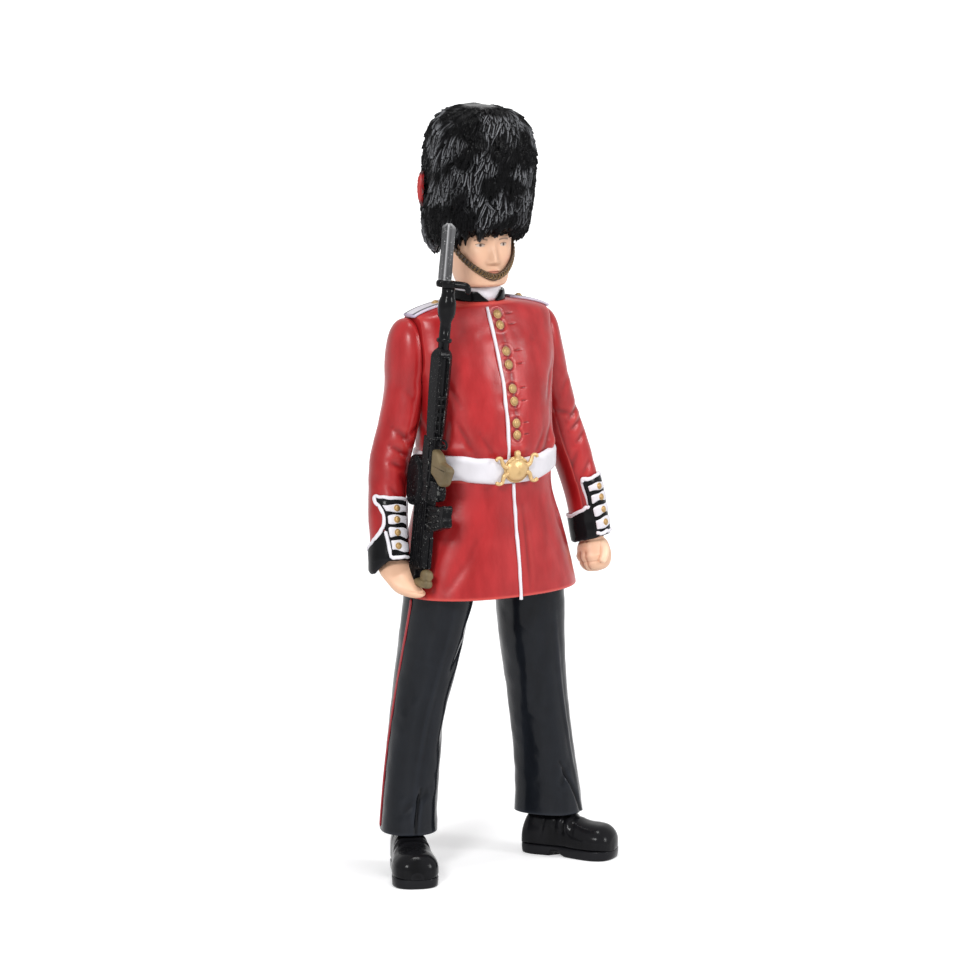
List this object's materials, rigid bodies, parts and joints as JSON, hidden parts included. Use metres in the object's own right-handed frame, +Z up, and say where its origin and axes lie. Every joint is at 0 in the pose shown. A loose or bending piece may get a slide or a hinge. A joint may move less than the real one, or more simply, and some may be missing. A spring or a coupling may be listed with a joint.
{
  "type": "toy soldier figure",
  "caption": "Standing toy guardsman in bearskin cap, red tunic and dark trousers, rifle upright in the right hand; head and arms turn on round pegs.",
  "frame": {"origin": "middle of the figure's box on the ground, under its soles", "axes": "+Z up, -Y the way the figure faces, +X its left side"},
  "size_m": [0.039, 0.02, 0.1042],
  "materials": {
    "bare_plastic": "unpainted moulded plastic",
    "black_paint": "black paint",
    "boot_paint": "glossy black paint",
    "chain_paint": "brown paint with brass highlights",
    "fur_paint": "glossy black paint over carved fur",
    "gold_paint": "dull gold paint",
    "gun_paint": "glossy black paint",
    "plume_paint": "red paint over carved feather",
    "red_paint": "satin red paint on moulded plastic",
    "silver_paint": "dull silver paint",
    "skin_paint": "matt skin colour paint",
    "stripe_paint": "dark red paint",
    "tan_paint": "olive tan paint",
    "trouser_paint": "satin blue-black paint",
    "white_paint": "white paint"
  },
  "bodies": {
    "torso": {"tunic": "red_paint", "tunic_skirt": "red_paint", "front_edging": "white_paint", "tunic_buttons": "gold_paint", "belt": "white_paint", "belt_buckle": "gold_paint", "collar": "black_paint", "collar_lining": "white_paint", "shoulder_strap_left": "white_paint", "shoulder_strap_right": "white_paint", "strap_buttons": "gold_paint", "waist_peg": "bare_plastic", "hip_peg_left": "bare_plastic", "hip_peg_right": "bare_plastic", "trouser_leg_left": "trouser_paint", "trouser_leg_right": "trouser_paint", "trouser_stripe_left": "stripe_paint", "trouser_stripe_right": "stripe_paint", "boot_left": "boot_paint", "boot_right": "boot_paint", "boot_sole_left": "boot_paint", "boot_sole_right": "boot_paint", "ankle_peg_left": "bare_plastic", "ankle_peg_right": "bare_plastic"},
    "head": {"head": "skin_paint", "neck_peg": "bare_plastic", "bearskin_cap": "fur_paint", "cap_plume": "plume_paint", "chin_chain": "chain_paint"},
    "left_arm": {"sleeve_left": "red_paint", "shoulder_peg_left": "bare_plastic", "cuff_left": "black_paint", "cuff_trim_left": "white_paint", "cuff_buttons_left": "gold_paint", "wrist_peg_left": "bare_plastic", "hand_left": "skin_paint"},
    "right_arm": {"sleeve_right": "red_paint", "shoulder_peg_right": "bare_plastic", "cuff_right": "black_paint", "cuff_trim_right": "white_paint", "cuff_buttons_right": "gold_paint", "wrist_peg_right": "bare_plastic", "hand_right": "skin_paint", "rifle_body": "gun_paint", "rifle_butt_pad": "tan_paint", "rifle_grip": "tan_paint", "rifle_trigger": "gun_paint", "rifle_magazine": "gun_paint", "rifle_sight": "gun_paint", "rifle_handguard": "gun_paint", "rifle_barrel": "gun_paint", "bayonet_guard": "gun_paint", "bayonet_blade": "silver_paint"}
  },
  "joints": [
    {"name": "neck_turn", "type": "hinge", "parent": "torso", "child": "head", "pos_m": [-0.001, 0.00155, 0.0779], "axis": [0, 0, 1], "range_deg": [-25, 25]},
    {"name": "left_shoulder", "type": "hinge", "parent": "torso", "child": "left_arm", "pos_m": [0.0096, 0.00236, 0.0718], "axis": [-1, 0, 0], "range_deg": [-20, 75]},
    {"name": "right_shoulder", "type": "hinge", "parent": "torso", "child": "right_arm", "pos_m": [-0.0116, 0.00236, 0.0718], "axis": [-1, 0, 0], "range_deg": [0, 15]}
  ]
}
